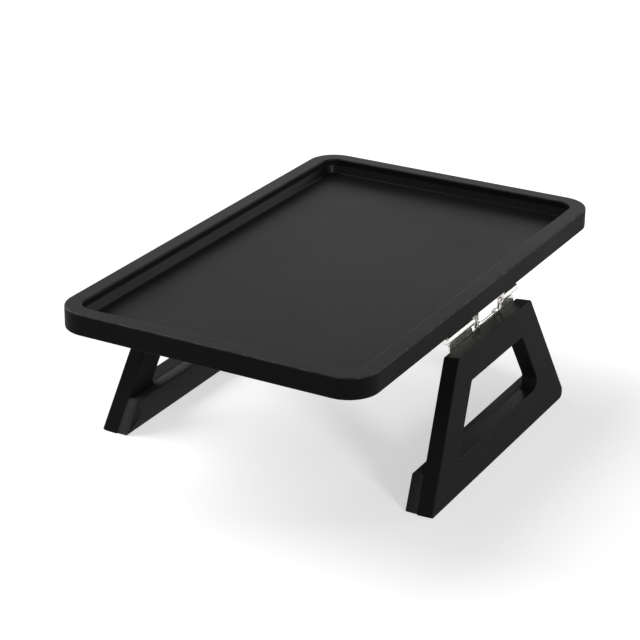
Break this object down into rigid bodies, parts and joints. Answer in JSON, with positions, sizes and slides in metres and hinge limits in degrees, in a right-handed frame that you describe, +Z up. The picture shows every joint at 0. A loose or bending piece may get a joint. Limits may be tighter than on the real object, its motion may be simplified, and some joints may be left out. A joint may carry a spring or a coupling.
{
  "type": "sofa arm tray",
  "caption": "Rectangular serving tray with a deep routed recess on folding trapezoid legs that clamp a sofa arm from both sides.",
  "frame": {"origin": "on the floor, under the middle of the tray", "axes": "+Z up, +Y along the tray and the sofa arm, +X across the arm to the right"},
  "size_m": [0.2814, 0.4, 0.135],
  "materials": {
    "tray_paint": "satin black paint on routed board, grain faintly showing",
    "leg_paint": "satin black paint on cut board",
    "grip_rubber": "matt black foam rubber",
    "hinge_plate": "bright nickel plate on bent sheet steel",
    "pin_steel": "bright nickel plate",
    "spring_wire": "drawn spring steel, nickel plated",
    "screw_steel": "nickel plated pan-head screws"
  },
  "bodies": {
    "tray": {"tray_panel": "tray_paint", "right_tray_leaf": "hinge_plate", "right_front_hinge_pin": "pin_steel", "right_rear_hinge_pin": "pin_steel", "right_front_tray_screws": "screw_steel", "right_rear_tray_screws": "screw_steel", "left_tray_leaf": "hinge_plate", "left_front_hinge_pin": "pin_steel", "left_rear_hinge_pin": "pin_steel", "left_front_tray_screws": "screw_steel", "left_rear_tray_screws": "screw_steel"},
    "right_leg": {"right_leg_frame": "leg_paint", "right_clamp_pad": "grip_rubber", "right_leg_leaf": "hinge_plate", "right_front_leg_screws": "screw_steel", "right_rear_leg_screws": "screw_steel"},
    "right_bail": {"right_bail_spring": "spring_wire"},
    "left_leg": {"left_leg_frame": "leg_paint", "left_clamp_pad": "grip_rubber", "left_leg_leaf": "hinge_plate", "left_front_leg_screws": "screw_steel", "left_rear_leg_screws": "screw_steel"},
    "left_bail": {"left_bail_spring": "spring_wire"}
  },
  "joints": [
    {"name": "right_leg_fold", "type": "hinge", "parent": "tray", "child": "right_leg", "pos_m": [0.117, 0, 0.1085], "axis": [0, 1, 0], "range_deg": [0, 95.57]},
    {"name": "right_bail_swing", "type": "hinge", "parent": "tray", "child": "right_bail", "pos_m": [0.11871, 0, 0.11039], "axis": [0, 1, 0], "range_deg": [0, 71.65]},
    {"name": "left_leg_fold", "type": "hinge", "parent": "tray", "child": "left_leg", "pos_m": [-0.117, 0, 0.1085], "axis": [0, -1, 0], "range_deg": [0, 95.57]},
    {"name": "left_bail_swing", "type": "hinge", "parent": "tray", "child": "left_bail", "pos_m": [-0.11871, 0, 0.11039], "axis": [0, -1, 0], "range_deg": [0, 71.65]}
  ],
  "couplings": [
    {"joint": "right_bail_swing", "follows": "right_leg_fold", "ratio": 0.74965},
    {"joint": "left_bail_swing", "follows": "left_leg_fold", "ratio": 0.74965}
  ]
}
